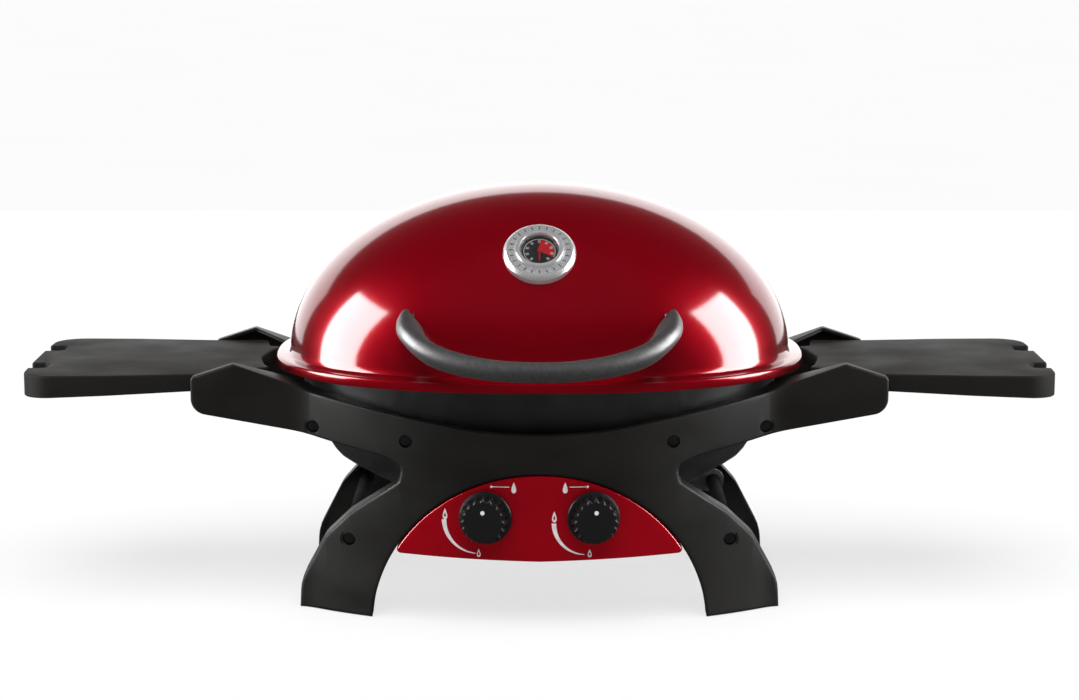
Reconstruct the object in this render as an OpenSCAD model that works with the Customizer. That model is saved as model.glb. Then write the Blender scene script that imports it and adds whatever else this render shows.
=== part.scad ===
// Portable tabletop gas grill: oval domed lid on a cookbox, carried by two mirrored frames
// whose legs stand on the table, with a control panel in the front arch and a folding shelf each side.
// Millimetres. X right, Y back, Z up; the origin is on the table under the middle of the object.
// The heights and depths below count from a level foot_drop above the table, and from the middle of the frames.

/* [Lid] */
// Half width of the lid at its lip
lid_a = 294.5; // [290:0.5:296]
// Half depth of the lid at its lip
lid_b = 233.5; // [230:0.5:235]
// Height of the lid's top
lid_top = 448; // [440:1:456]
// Height of the lip's lower edge
lip_z = 250.5; // [250:0.1:251]
// Thickness of the cast lid
lid_t = 3.5; // [3:0.5:4]

/* [Frame] */
// Radius of the curved front of each frame, seen from above
bow_r = 426; // [424:1:428]
// How far in front of the middle the frame's face stands
face_front = 219.5; // [218:0.5:221]
// Half width of the frame at the arms' ends
arm_x = 378; // [374:1:382]
// Height of the arms' peaks
peak_z = 265; // [263:1:267]
// Thickness of the frame's wall
wall = 5; // [4:0.5:5]
// Depth of the legs' turned-in edges
flange = 28; // [24:1:30]
// How far the feet reach below the level that heights count from
foot_drop = 4; // [3:0.5:5]

/* [Shelves] */
// Half width of the whole grill over its opened shelves
shelf_x = 566; // [562:1:570]
// Height of the shelves' top
shelf_z = 251; // [250:0.5:252]
// Half depth of a shelf between the arms
shelf_y = 116; // [115:0.5:116.5]
// Half depth of a shelf at its outer end
shelf_y_out = 129; // [124:1:130]
// Distance of a shelf's hinge pins from the middle
pin_x = 338; // [336:1:340]
// Height of the shelf pins
pin_z = 244; // [243.5:0.5:244.5]

/* [Controls] */
// Sideways distance of each knob from the middle
knob_x = 56.5; // [55:0.5:58]
// Height of the knobs' axes
knob_z = 115.5; // [114:0.5:117]
// Radius of a knob's grip
knob_r = 25.5; // [24:0.5:26]
// Radius of the thermometer's bezel
bezel_r = 39; // [37:0.5:40]

/* [Inlet] */
// Outside radius of the gas inlet's thread
inlet_r = 7.9; // [7.8:0.05:8]
// Length of the gas inlet's thread
inlet_len = 12; // [11:0.5:13]

/* [Hidden] */
round_fn = 64;
bow_fn = 240;
ring_n = 64;                            // points round each oval ring
y_shift = 16.5;                         // puts the middle of the whole depth at y = 0
bow_y = bow_r - face_front;             // centre of the frame's bow, behind the face
crease_x = 257;                         // where the bow turns into the straight arm
arm_depth = 15;                         // depth of the arms' edges beside the shelves
deck_x = 307;                           // outer end of the deep edge beside the lid
arch_r = 181.3;                         // radius of the arch between the legs
arch_z = -20.5;                         // height of the arch's centre
oval_n = 2.35;                          // squareness of the lid's outline
rim_top = 258;                          // top of the cookbox rim
dome_a = lid_a - 15.5;
dome_b = lid_b - 15.5;
dome_z = lip_z + 12;
pin_r = 3;
run = 0.05;                             // radial running clearance
screw_spots = [[245, 198.5], [142.5, 192.4], [205.5, 79.5]];
boss_depth = 14;
bore_depth = 9.5;
gauge_c = [0, -160, 389];
gauge_tilt = 42.5;                      // lean of the thermometer's axis from upright
hinge_y = 243;
hinge_z = 256;
leaf_x = 110;
panel_r = arch_r - 0.8;                 // the panel fills the arch
panel_z = 66.5;
manifold_y = -160;
inlet_x = 130;
inlet_z = 88;
inlet_end = 251;

// ---- helpers ----
function face_y(x) = let (u = min(abs(x), crease_x)) bow_y - sqrt(bow_r * bow_r - u * u);
function knob_turn(x) = asin(x / bow_r);
function unit(v) = v / norm(v);
function fillet(a, p, b, r) =
    let (u = unit(a - p), v = unit(b - p), half = acos(u * v) / 2, c = p + unit(u + v) * r / sin(half),
        t1 = p + u * r / tan(half) - c, t2 = p + v * r / tan(half) - c,
        s = atan2(t1[1], t1[0]), e = atan2(t2[1], t2[0]),
        sweep = (e - s + 540) % 360 - 180, n = max(2, ceil(abs(sweep) / 15)))
    [for (i = [0:n]) c + r * [cos(s + sweep * i / n), sin(s + sweep * i / n)]];
// Corners as [x, y, radius], turned into an outline with round corners
function rounded(q) = [for (i = [0:len(q) - 1])
    let (p = q[i], a = q[(i + len(q) - 1) % len(q)], b = q[(i + 1) % len(q)])
    each p[2] > 0 ? fillet([a[0], a[1]], [p[0], p[1]], [b[0], b[1]], p[2]) : [[p[0], p[1]]]];
function mirrored(q) = concat(q, [for (i = [len(q) - 1:-1:0]) if (abs(q[i][0]) > 0.01) [-q[i][0], q[i][1]]]);
function oval_pt(a, b, n, t) = [a * sign(cos(t)) * pow(abs(cos(t)), 2 / n),
    b * sign(sin(t)) * pow(abs(sin(t)), 2 / n)];
function oval(a, b, n = oval_n) = [for (i = [0:ring_n - 1]) oval_pt(a, b, n, 360 * i / ring_n)];

// Closed solid through a list of oval rings [a, b, z, n]; the first and last ring are capped
module ring_solid(rings) {
    m = len(rings);
    pts = [for (r = rings) each [for (p = oval(r[0], r[1], r[3])) [p[0], p[1], r[2]]]];
    quads = [for (j = [0:m - 2], i = [0:ring_n - 1])
        let (a = j * ring_n + i, b = j * ring_n + (i + 1) % ring_n)
        each [[a, b, b + ring_n], [a, b + ring_n, a + ring_n]]];
    first = [[for (i = [ring_n - 1:-1:0]) i]];
    last = [[for (i = [0:ring_n - 1]) (m - 1) * ring_n + i]];
    polyhedron(points = pts, faces = concat(quads, first, last), convexity = 6);
}
// Closed tube-like solid through a closed list of oval rings, with a hole through the middle
module ring_loop(rings) {
    m = len(rings);
    pts = [for (r = rings) each [for (p = oval(r[0], r[1], r[3])) [p[0], p[1], r[2]]]];
    quads = [for (j = [0:m - 1], i = [0:ring_n - 1])
        let (k = (j + 1) % m, a = j * ring_n + i, b = j * ring_n + (i + 1) % ring_n,
            c = k * ring_n + (i + 1) % ring_n, d = k * ring_n + i) each [[a, b, c], [a, c, d]]];
    polyhedron(points = pts, faces = quads, convexity = 6);
}
module place() translate([0, y_shift, foot_drop]) children();
module both_x() { children(); mirror([1, 0, 0]) children(); }
module both_y() { children(); mirror([0, 1, 0]) children(); }
// Extrudes an outline drawn in X and Z along Y, from y0 to y1
module upright(y0, y1) translate([0, y1, 0]) rotate([90, 0, 0]) linear_extrude(y1 - y0) children();
// Extrudes an outline drawn in Y and Z along X, from x0 to x1
module sideways(x0, x1) translate([x0, 0, 0]) rotate([90, 0, 90]) linear_extrude(x1 - x0) children();
module along_y(y0, y1, r)
    translate([0, y0, 0]) rotate([-90, 0, 0]) cylinder(h = y1 - y0, r = r, $fn = round_fn);
module along_x(x0, x1, r)
    translate([x0, 0, 0]) rotate([0, 90, 0]) cylinder(h = x1 - x0, r = r, $fn = round_fn);
// Straight round bar between two points
module bar(p, q, r) {
    v = q - p;
    translate(p) rotate([0, acos(v[2] / norm(v)), atan2(v[1], v[0])]) cylinder(h = norm(v), r = r, $fn = 32);
}
// Puts a child on the curved panel at x, with its own +Z pointing straight out of the panel
module on_panel(x) translate([x, face_y(x), knob_z]) rotate([0, 0, knob_turn(x)]) rotate([90, 0, 0]) children();
// Puts a child on the dome at the thermometer, with its own +Z pointing away from the dome
module on_dome() translate(gauge_c) rotate([gauge_tilt, 0, 0]) children();

// ---- lid ----
function dome(a, b, h, z0, s) = [a * cos(s), b * cos(s), z0 + h * sin(s), 2 + (oval_n - 2) * pow(cos(s), 4)];
dome_steps = [for (i = [0:13]) 86 - i * 86 / 13];
module lid_shell() {
    h = lid_top - dome_z;
    outer = [for (s = dome_steps) dome(dome_a, dome_b, h, dome_z, s)];
    inner = [for (i = [13:-1:0]) dome(dome_a - lid_t, dome_b - lid_t, h - lid_t, dome_z, dome_steps[i])];
    lip = [[dome_a + 3, dome_b + 3, dome_z - 0.3, oval_n], [lid_a - 3, lid_b - 3, dome_z - 1.2, oval_n],
        [lid_a, lid_b, dome_z - 4, oval_n], [lid_a, lid_b, lip_z + 1.5, oval_n],
        [lid_a - 1.5, lid_b - 1.5, lip_z, oval_n], [lid_a - 4.5, lid_b - 4.5, lip_z, oval_n],
        [lid_a - 5.5, lid_b - 5.5, lip_z + 2, oval_n], [lid_a - 5.5, lid_b - 5.5, rim_top + 0.6, oval_n],
        [dome_a - lid_t, dome_b - lid_t, rim_top + 0.6, oval_n]];
    color("crimson") place() ring_solid(concat(outer, lip, inner));
}

// Middle line of the handle, one half, from the middle of the bar to its end on the dome
handle_line = [[0, -268, 279.5], [40, -265, 280.5], [80, -254, 285], [112, -237, 293], [134, -215, 306],
    [140, -194, 321], [134, -176, 333]];
handle_half = [[10.5, 10], [11, 10.2], [12, 10.5], [13.5, 11], [14, 11], [13, 10], [11, 9]];
function lerp_list(q, t) = let (i = min(floor(t), len(q) - 2), f = t - i, p0 = q[max(i - 1, 0)], p1 = q[i],
    p2 = q[i + 1], p3 = q[min(i + 2, len(q) - 1)])
    0.5 * (2 * p1 + (p2 - p0) * f + (2 * p0 - 5 * p1 + 4 * p2 - p3) * f * f
    + (3 * p1 - p0 - 3 * p2 + p3) * f * f * f);
function mirror_line(q) = concat([for (i = [len(q) - 1:-1:1]) [-q[i][0], q[i][1], q[i][2]]], q);
function mirror_size(q) = concat([for (i = [len(q) - 1:-1:1]) q[i]], q);
// Sweeps an oval section along a list of points; each half size is [across, deep]
module swept(line, size, steps, sides) {
    n = len(line) - 1;
    mid = [for (i = [0:steps]) lerp_list(line, n * i / steps)];
    half = [for (i = [0:steps]) lerp_list(size, n * i / steps)];
    pts = [for (i = [0:steps])
        let (t = unit(mid[min(i + 1, steps)] - mid[max(i - 1, 0)]), out = unit(cross(t, [0, 0.6, 0.8])),
            o = unit(cross(t, out)), s = cross(o, t))
        each [for (k = [0:sides - 1]) mid[i] + o * half[i][1] * cos(360 * k / sides)
            + s * half[i][0] * sin(360 * k / sides)]];
    quads = [for (i = [0:steps - 1], k = [0:sides - 1])
        let (a = i * sides + k, b = i * sides + (k + 1) % sides)
        each [[a, b, b + sides], [a, b + sides, a + sides]]];
    ends = [[for (k = [sides - 1:-1:0]) k], [for (k = [0:sides - 1]) steps * sides + k]];
    polyhedron(points = pts, faces = concat(quads, ends), convexity = 6);
}
module lid_handle() color("dimgray") place() swept(mirror_line(handle_line), mirror_size(handle_half), 40, 14);
module handle_screws() color("silver") place() both_x() {
    bar([128, -163, 329], [137, -190, 325], 2.5);
    bar([125.6, -155.8, 330], [128, -163, 329], 5);
}

// ---- thermometer ----
module gauge_bezel() color("silver") place() on_dome() rotate_extrude($fn = 96) polygon(
    [[20.5, 2], [26, 2], [26, -4.5], [bezel_r - 1, -4.5], [bezel_r, -3], [bezel_r, 1.5], [bezel_r - 2, 4],
    [27.5, 8.5], [26, 10.5], [21.5, 10.5], [20.5, 9.5]]);
module gauge_housing() color("silver") place() on_dome() rotate_extrude($fn = 64) polygon(
    [[0, -3], [25.5, -3], [25.5, 1.8], [20.3, 1.8], [20.3, 5], [19.3, 5], [19.3, -1.5], [4, -1.5], [4, -2],
    [0, -2]]);
module gauge_dial() color("black") place() on_dome() difference() {
    translate([0, 0, 3]) cylinder(h = 1, r = 19.2, $fn = 64);
    translate([0, 0, 2]) cylinder(h = 3, r = 1.8, $fn = 32);
}
module gauge_needle() color("red") place() on_dome() {
    translate([0, 0, 4.6]) linear_extrude(0.6) polygon([[-1.3, 5], [1.3, 5], [0.5, -14.5], [-0.5, -14.5]]);
    translate([0, 0, 4.5]) cylinder(h = 1.6, r = 2.2, $fn = 32);
    translate([0, 0, 1.2]) cylinder(h = 3.4, r = 1.2, $fn = 32);
}
module gauge_glass() color("lightblue", 0.4) place() on_dome()
    translate([0, 0, 7.4]) cylinder(h = 1.5, r = 20.2, $fn = 64);
module gauge_stem() color("silver") place() on_dome()
    translate([0, 0, -52]) cylinder(h = 49, r = 3.5, $fn = 32);
module gauge_nut() color("silver") place() on_dome() translate([0, 0, -15]) difference() {
    cylinder(h = 5, r = 10, $fn = 6);
    translate([0, 0, -1]) cylinder(h = 7, r = 3.55, $fn = 32);
}

// ---- lid hinge ----
module lid_hinge_leaves() color("dimgray") place() both_x() difference() {
    union() {
        translate([leaf_x - 15, 213, dome_z + 0.1]) cube([30, hinge_y - 213, 4]);
        translate([0, hinge_y, hinge_z]) along_x(leaf_x - 15, leaf_x + 15, 7);
    }
    translate([0, hinge_y, hinge_z]) along_x(leaf_x - 20, leaf_x + 20, pin_r + run);
}
module lid_hinge_screws() color("silver") place() both_x() for (dx = [-9, 9])
    translate([leaf_x + dx, 218, dome_z + 4.1]) cylinder(h = 2.2, r = 3.6, $fn = 32);
ear_line = rounded([[188, 219, 0], [222, 219, 8], [251, 243, 8], [251, 264, 7.9], [235, 264, 7.9],
    [235, 247, 3], [188, 246, 0]]);
module lid_hinge_brackets() color("dimgray") place() both_x() difference() {
    union() {
        for (x = [leaf_x - 22, leaf_x + 16]) sideways(x, x + 6) polygon(ear_line);
        translate([leaf_x - 22, 188, 219]) cube([44, 5, 27]);
    }
    translate([0, hinge_y, hinge_z]) along_x(leaf_x - 30, leaf_x + 30, pin_r);
}
module lid_hinge_pins() color("silver") place() both_x() translate([0, hinge_y, hinge_z]) {
    along_x(leaf_x - 22.3, leaf_x + 24, pin_r);
    along_x(leaf_x - 25, leaf_x - 22.3, 5);
}

// ---- cookbox ----
module cookbox() color("#222222") place() ring_loop([
    [lid_a - 9, lid_b - 9, rim_top, oval_n], [lid_a - 9, lid_b - 9, rim_top - 4, oval_n],
    [267, 204, 252, oval_n], [266, 203, 247, oval_n], [262, 199, 215, oval_n], [251, 190, 185, oval_n],
    [236, 178, 162, oval_n], [226, 168, 148, 2.3], [204, 150, 134, 2.3], [169, 121, 114, 2.2],
    [125, 88, 102, 2.1], [60, 48, 96, 2], [30, 30, 94, 2], [30, 30, 87, 2], [26, 26, 87, 2],
    [26, 26, 98.5, 2], [60, 48, 100.5, 2], [124, 87, 106.5, 2.1], [167, 119, 118.5, 2.2],
    [201, 147, 138, 2.3], [222, 164, 152, 2.3], [232, 174, 165, oval_n], [246.5, 185.5, 187, oval_n],
    [257, 194, 215, oval_n], [249, 186, 221, oval_n], [249, 186, 225, oval_n], [259.5, 196.5, 226, oval_n],
    [262, 199, 250, oval_n], [263, 200, rim_top, oval_n]]);
// Where a screw boss of the frame ends at its outer side, for a part of radius r that meets it
function boss_end(x, r) = bow_y - sqrt(pow(bow_r - boss_depth, 2) - pow(x + r, 2)) + 0.4;
// Cast lugs that take the frame screws
module cookbox_lugs() color("#222222") place() both_y() both_x() {
    lug(142.5, 192.4, -166, 9, true);
    lug(245, 198.5, -66, 6, false);
}
module lug(x, z, y_in, r, post) difference() {
    union() {
        translate([x, 0, z]) along_y(boss_end(x, r), y_in, r);
        if (post) intersection() {
            translate([x - 10, face_y(x) + 13.2, z - 14]) cube([15, 20, 251 - z + 14]);
            linear_extrude(260) difference() { square([600, 600], center = true); polygon(oval(250, 188)); }
        }
    }
    translate([x, 0, z]) along_y(face_y(x) + boss_depth - 10, face_y(x) + boss_depth + 14, pin_r);
    if (post) translate([x, 0, z]) along_y(face_y(x), boss_end(x, r), 10.8);
}
module plate_half() difference() {
    polygon(oval(245, 182));
    translate([-300, -300]) square([301, 600]);
}
module grill_plate() color("#333333") place() translate([0, 0, 225.4]) linear_extrude(9) difference() {
    plate_half();
    for (i = [0:10]) let (x = 18 + i * 19, y = 155 * sqrt(1 - pow(x / 240, 2.6)))
        translate([x - 3.5, -y]) square([7, 2 * y]);
}
module hot_plate() color("#333333") place() mirror([1, 0, 0]) {
    translate([0, 0, 225.4]) linear_extrude(5) plate_half();
    translate([0, 0, 230.4]) linear_extrude(5) difference() { plate_half(); offset(-7) plate_half(); }
}
module burner() {
    z = 162;
    x0 = 68; x1 = 158; y1 = 100; r = 9; c = 25;
    for (x = [x0, x1]) translate([x, 0, z]) along_y(-y1 + c, y1 - c, r);
    for (y = [-y1, y1]) translate([0, y, z]) along_x(x0 + c, x1 - c, r);
    for (k = [[x1 - c, y1 - c, 0], [x0 + c, y1 - c, 90], [x0 + c, c - y1, 180], [x1 - c, c - y1, 270]])
        translate([k[0], k[1], z]) rotate([0, 0, k[2]]) rotate_extrude(angle = 90, $fn = 64)
            translate([c, 0]) circle(r = r, $fn = 32);
}
mix_tip = [knob_x - 1, -150, knob_z + 4];
module mixing_tube() bar(mix_tip, [100, -100, 160], 7);
module left_burner() color("silver") place() mirror([1, 0, 0]) { burner(); mixing_tube(); }
module right_burner() color("silver") place() { burner(); mixing_tube(); }
module heat_tents() color("silver") place() both_x() translate([0, 0, 190]) upright(-115, 115)
    polygon([[58, -6], [113, 14], [168, -6], [168, -4.2], [113, 16], [58, -4.2]]);

// ---- frames ----
frame_dip = [for (x = [0:10:80]) [x, 203 + x * x / 1250, 0]];
arch_start = asin((-foot_drop - arch_z) / arch_r);
arch_line = [for (i = [0:24]) let (t = arch_start + (90 - arch_start) * i / 24)
    [arch_r * cos(t), arch_z + arch_r * sin(t), 0]];
frame_right = rounded(concat(frame_dip, [[249, 236, 60], [332, peak_z, 5], [arm_x, 250, 3], [arm_x, 212, 18],
    [168, 174, 8], [147, 165, 9], [150, 148, 9], [203, 110, 60], [232, 80, 40], [260.5, 26, 50],
    [262, -foot_drop, 0]], arch_line));
module frame_outline() polygon(mirrored(frame_right));
module frame_edge() difference() { frame_outline(); offset(delta = -4) frame_outline(); }
module top_edge() intersection() {
    difference() { frame_outline(); translate([0, -5.5]) frame_outline(); }
    translate([-deck_x, 170]) square([2 * deck_x, 120]);
}
// Plan of the frame between two depths behind its face
module plan_band(d0, d1, arm_d1) {
    intersection() {
        translate([0, bow_y]) difference() {
            circle(r = bow_r - d0, $fn = bow_fn);
            circle(r = bow_r - d1, $fn = bow_fn);
        }
        translate([-crease_x, -300]) square([2 * crease_x, 300]);
    }
    for (s = [-1, 1]) translate([s < 0 ? -arm_x : crease_x, face_y(crease_x) + d0])
        square([arm_x - crease_x, arm_d1 - d0]);
}
module box_clearance() polygon(oval(268.5, 205.5));
module deck_plan() difference() {
    polygon(mirrored([[0, -240], [deck_x, -240], [deck_x, -99], [278, -76], [0, -76]]));
    polygon(oval(269.5, 206.5));
    translate([0, bow_y]) difference() { circle(r = 600); circle(r = bow_r - 1, $fn = bow_fn); }
}
module slab() translate([0, 0, -20]) linear_extrude(320) children();
rib_spots = [300, 320, 352];
leg_ribs = [for (i = [0:6]) 90 + i * 4.4];
function leg_side(z) = 203 + (110 - z) * 0.97;         // outer side of a leg at one height
module frame() difference() {
    union() {
        intersection() {
            upright(-260, 0) frame_outline();
            slab() plan_band(0, wall, wall);
        }
        intersection() {
            upright(-260, 0) frame_edge();
            slab() difference() { plan_band(0, flange, arm_depth); box_clearance(); }
        }
        intersection() {
            upright(-260, 0) top_edge();
            slab() deck_plan();
        }
        for (x = rib_spots) both_x() intersection() {
            upright(-260, 0) frame_outline();
            translate([x - 1.5, face_y(x), 150]) cube([3, arm_depth, 120]);
        }
        both_x() for (z = leg_ribs) intersection() {
            upright(-260, 0) frame_outline();
            slab() plan_band(1, flange - 6, arm_depth);
            translate([leg_side(z) - 16, -260, z]) cube([14, 260, 1.6]);
        }
        both_x() for (s = screw_spots) intersection() {
            translate([s[0], 0, s[1]]) along_y(-260, -60, 10);
            slab() plan_band(1, boss_depth, boss_depth);
        }
        both_x() translate([pin_x, 0, pin_z]) along_y(face_y(pin_x) + 1, -shelf_y - 1.5, 7);
    }
    both_x() {
        for (s = screw_spots) translate([s[0], 0, s[1]]) {
            along_y(face_y(s[0]) - 20, face_y(s[0]) + bore_depth, 7);
            along_y(face_y(s[0]), face_y(s[0]) + 40, pin_r + 0.2);
        }
        translate([pin_x, 0, pin_z]) along_y(face_y(pin_x) + 3.5, -100, pin_r);
    }
}
module front_frame() color("#2b2a28") place() frame();
module rear_frame() color("#2b2a28") place() mirror([0, 1, 0]) frame();
module frame_screws() color("silver") place() both_y() both_x() for (s = screw_spots)
    translate([s[0], 0, s[1]]) {
        along_y(face_y(s[0]) + bore_depth - 3.8, face_y(s[0]) + bore_depth, 6);
        along_y(face_y(s[0]) + bore_depth, face_y(s[0]) + bore_depth + 14.4, pin_r);
    }
module tie_bars() color("silver") place() both_x() translate([205.5, 0, 79.5]) difference() {
    along_y(boss_end(205.5, 8), -boss_end(205.5, 8), 8);
    both_y() along_y(face_y(205.5), face_y(205.5) + boss_depth + 14, pin_r);
}

// ---- control panel ----
module panel_outline(inset) intersection() {
    translate([0, arch_z]) circle(r = panel_r - inset, $fn = bow_fn);
    polygon(mirrored([[0, panel_z + inset], [200, panel_z + 4.5 + inset], [200, 300], [0, 300]]));
}
module control_panel() color("crimson") place() difference() {
    union() {
        intersection() {
            upright(-260, 0) panel_outline(0);
            linear_extrude(300) plan_band(1, 4, 4);
        }
        intersection() {
            upright(-260, 0) difference() { panel_outline(0); panel_outline(2.5); }
            linear_extrude(300) plan_band(1, 16, 4);
        }
    }
    for (x = [-knob_x, knob_x]) on_panel(x) translate([0, 0, -20]) cylinder(h = 40, r = 7, $fn = round_fn);
    panel_screw_places() translate([0, 0, -20]) cylinder(h = 40, r = 2, $fn = 32);
}
module panel_screw_places() for (t = [38, 70, 110, 142])
    translate([panel_r * cos(t), face_y(panel_r * cos(t)) + 10.5, arch_z + panel_r * sin(t)])
        rotate([0, 90 - t, 0]) children();
module panel_screws() color("silver") place() panel_screw_places() {
    translate([0, 0, -5]) cylinder(h = 9.5, r = 2, $fn = 32);
    translate([0, 0, -6.5]) cylinder(h = 2.2, r = 3.6, $fn = 32);
}
module valve_bracket() color("silver") place() difference() {
    union() {
        translate([-84, -200, 84]) cube([168, 1.5, 48]);
        for (z = [84, 130.5]) translate([-84, -200, z]) cube([168, 12, 1.5]);
    }
    for (x = [-knob_x, knob_x]) on_panel(x) translate([0, 0, -40]) cylinder(h = 60, r = 6, $fn = round_fn);
}
module manifold() color("silver") place() {
    translate([0, manifold_y, knob_z]) along_x(-82, inlet_x, 6.5);
    translate([inlet_x - 8, manifold_y - 8, inlet_z - 8]) cube([16, 16, knob_z - inlet_z + 16]);
    translate([inlet_x, 0, inlet_z]) along_y(manifold_y, inlet_end - 40, 6.5);
}
module valve_body(x) on_panel(x) translate([0, 0, -51.5]) difference() {
    union() {
        cylinder(h = 32, r = 11, $fn = round_fn);
        translate([0, 0, 6]) cylinder(h = 14, r = 15, $fn = 6);
    }
    translate([0, 0, 14]) cylinder(h = 20, r = 4 + run, $fn = round_fn);
}
module left_valve_body() color("goldenrod") place() valve_body(-knob_x);
module right_valve_body() color("goldenrod") place() valve_body(knob_x);
module valve_stem(x) on_panel(x) translate([0, 0, -33]) cylinder(h = 49, r = 4, $fn = round_fn);
module left_valve_stem() color("silver") place() valve_stem(-knob_x);
module right_valve_stem() color("silver") place() valve_stem(knob_x);
module knob(x) on_panel(x) difference() {
    union() {
        translate([0, 0, 4]) cylinder(h = 4, r = knob_r + 3.3, $fn = 96);
        translate([0, 0, 8]) difference() {
            cylinder(h = 18, r = knob_r, $fn = 96);
            for (i = [0:17]) rotate([0, 0, 20 * i + 10])
                translate([knob_r + 3, 0, -1]) cylinder(h = 22, r = 5, $fn = 32);
        }
    }
    translate([0, 0, 3]) difference() {
        cylinder(h = 17, r = knob_r - 5, $fn = 64);
        cylinder(h = 18, r = 9, $fn = 64);
    }
    translate([0, 0, 3]) cylinder(h = 17, r = 4 + run, $fn = round_fn);
}
module left_knob() color("#1a1a1a") place() knob(-knob_x);
module right_knob() color("#1a1a1a") place() knob(knob_x);
module gas_inlet() color("goldenrod") place() translate([inlet_x, 0, inlet_z]) {
    translate([0, inlet_end - 40, 0]) rotate([-90, 0, 0]) cylinder(h = 40 - inlet_len, r = 11, $fn = 6);
    along_y(inlet_end - inlet_len, inlet_end, inlet_r);
}
module inlet_bracket() color("silver") place() difference() {
    upright(130, 133) polygon(rounded([[116, 74, 8], [218, 66, 12], [218, 93, 12], [116, 102, 8]]));
    translate([205.5, 0, 79.5]) along_y(120, 140, 8.1);
    translate([inlet_x, 0, inlet_z]) along_y(120, 140, 6.6);
}
module igniter_electrodes() color("white") place() both_x() {
    bar([113, -128, 178], [113, -128, 152], 4);
    bar([113, -128, 178], [113, -116, 184], 1.2);
}
module igniter_leads() color("red") place() both_x() bar([113, -130, 151.5], [70, -176, 128], 1.5);

// ---- shelves ----
shelf_right = mirrored_y([[314, 0, 0], [303, 52, 12], [297, 72, 6], [311, 74, 8], [316, shelf_y, 3],
    [382, shelf_y, 40], [470, shelf_y_out - 3, 60], [shelf_x - 3, shelf_y_out, 34]], [shelf_x, 0, 0]);
function mirrored_y(q, tip) = rounded(concat([for (i = [1:len(q) - 1]) q[i]], [tip],
    [for (i = [len(q) - 1:-1:1]) [q[i][0], -q[i][1], q[i][2]]], [q[0]]));
notch = rounded([[shelf_x - 22, -10, 0], [shelf_x - 22, 16, 6], [shelf_x + 5, 16, 0], [shelf_x + 5, -16, 0],
    [shelf_x - 16, -16, 0]]);
module shelf_outline() difference() {
    polygon(shelf_right);
    for (s = [-1, 1]) translate([0, s * 57]) polygon(notch);
}
module shelf() difference() {
    union() {
        translate([0, 0, shelf_z - 3]) linear_extrude(3) shelf_outline();
        intersection() {
            translate([0, 0, 220]) linear_extrude(shelf_z - 220) difference() {
                shelf_outline();
                offset(delta = -3) shelf_outline();
            }
            upright(-200, 200) polygon([[290, 232], [380, 232], [shelf_x + 1, 225.5], [shelf_x + 1, shelf_z],
                [290, shelf_z]]);
        }
        intersection() {
            translate([0, 0, 236]) linear_extrude(13) shelf_outline();
            union() {
                for (y = [-80, -27, 27, 80]) translate([300, y - 1.25, 236]) cube([280, 2.5, 13]);
                for (x = [390, 450, 510]) translate([x - 1.25, -130, 236]) cube([2.5, 260, 13]);
            }
        }
        for (s = [-1, 1]) translate([pin_x, 0, pin_z]) scale([1, s, 1]) along_y(98, shelf_y - 0.5, 6.5);
    }
    translate([pin_x, 0, pin_z]) along_y(-130, 130, pin_r + run);
}
module right_shelf() color("#2b2a28") place() shelf();
module left_shelf() color("#2b2a28") place() mirror([1, 0, 0]) shelf();
module shelf_pins() color("silver") place() both_y() both_x() translate([pin_x, 0, pin_z])
    along_y(face_y(pin_x) + 3.5, -99, pin_r);

// ---- drip tray ----
tray_x = 75; tray_y = 100; tray_lo = 60; tray_hi = 81;
module drip_tray() color("silver") place() {
    difference() {
        translate([-tray_x, -tray_y, tray_lo]) cube([2 * tray_x, 2 * tray_y, tray_hi - tray_lo]);
        translate([1.5 - tray_x, 1.5 - tray_y, tray_lo + 1.5]) cube([2 * tray_x - 3, 2 * tray_y - 3, 30]);
    }
    both_x() translate([tray_x, -tray_y, tray_hi - 1.5]) cube([7, 2 * tray_y, 1.5]);
    translate([-30, tray_y, tray_hi - 1.5]) cube([60, 16, 1.5]);
    translate([-30, tray_y + 14.5, tray_hi - 12]) cube([60, 1.5, 10.5]);
}
module tray_rails() color("silver") place() both_x() upright(-90, 90)
    polygon([[tray_x + 1, tray_hi - 3.3], [tray_x + 10, tray_hi - 3.3], [tray_x + 10, 99.5],
        [tray_x + 8.5, 99.5], [tray_x + 8.5, tray_hi - 1.8], [tray_x + 1, tray_hi - 1.8]]);

lid_shell();
lid_handle();
handle_screws();
gauge_bezel();
gauge_housing();
gauge_dial();
gauge_needle();
gauge_glass();
gauge_stem();
gauge_nut();
lid_hinge_leaves();
lid_hinge_screws();
lid_hinge_pins();
lid_hinge_brackets();
cookbox();
cookbox_lugs();
grill_plate();
hot_plate();
left_burner();
right_burner();
heat_tents();
front_frame();
rear_frame();
frame_screws();
tie_bars();
control_panel();
panel_screws();
valve_bracket();
manifold();
left_valve_body();
right_valve_body();
left_valve_stem();
right_valve_stem();
left_knob();
right_knob();
gas_inlet();
inlet_bracket();
igniter_electrodes();
igniter_leads();
left_shelf();
right_shelf();
shelf_pins();
drip_tray();
tray_rails();
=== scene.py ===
"""Looks of the portable tabletop grill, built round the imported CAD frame.

The grill's shapes are in millimetres of the design. The camera stands in them too. Lights, floor and backdrop
are in metres of the frame.
"""
import math

import bmesh
import bpy
from mathutils import Matrix, Vector

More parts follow.
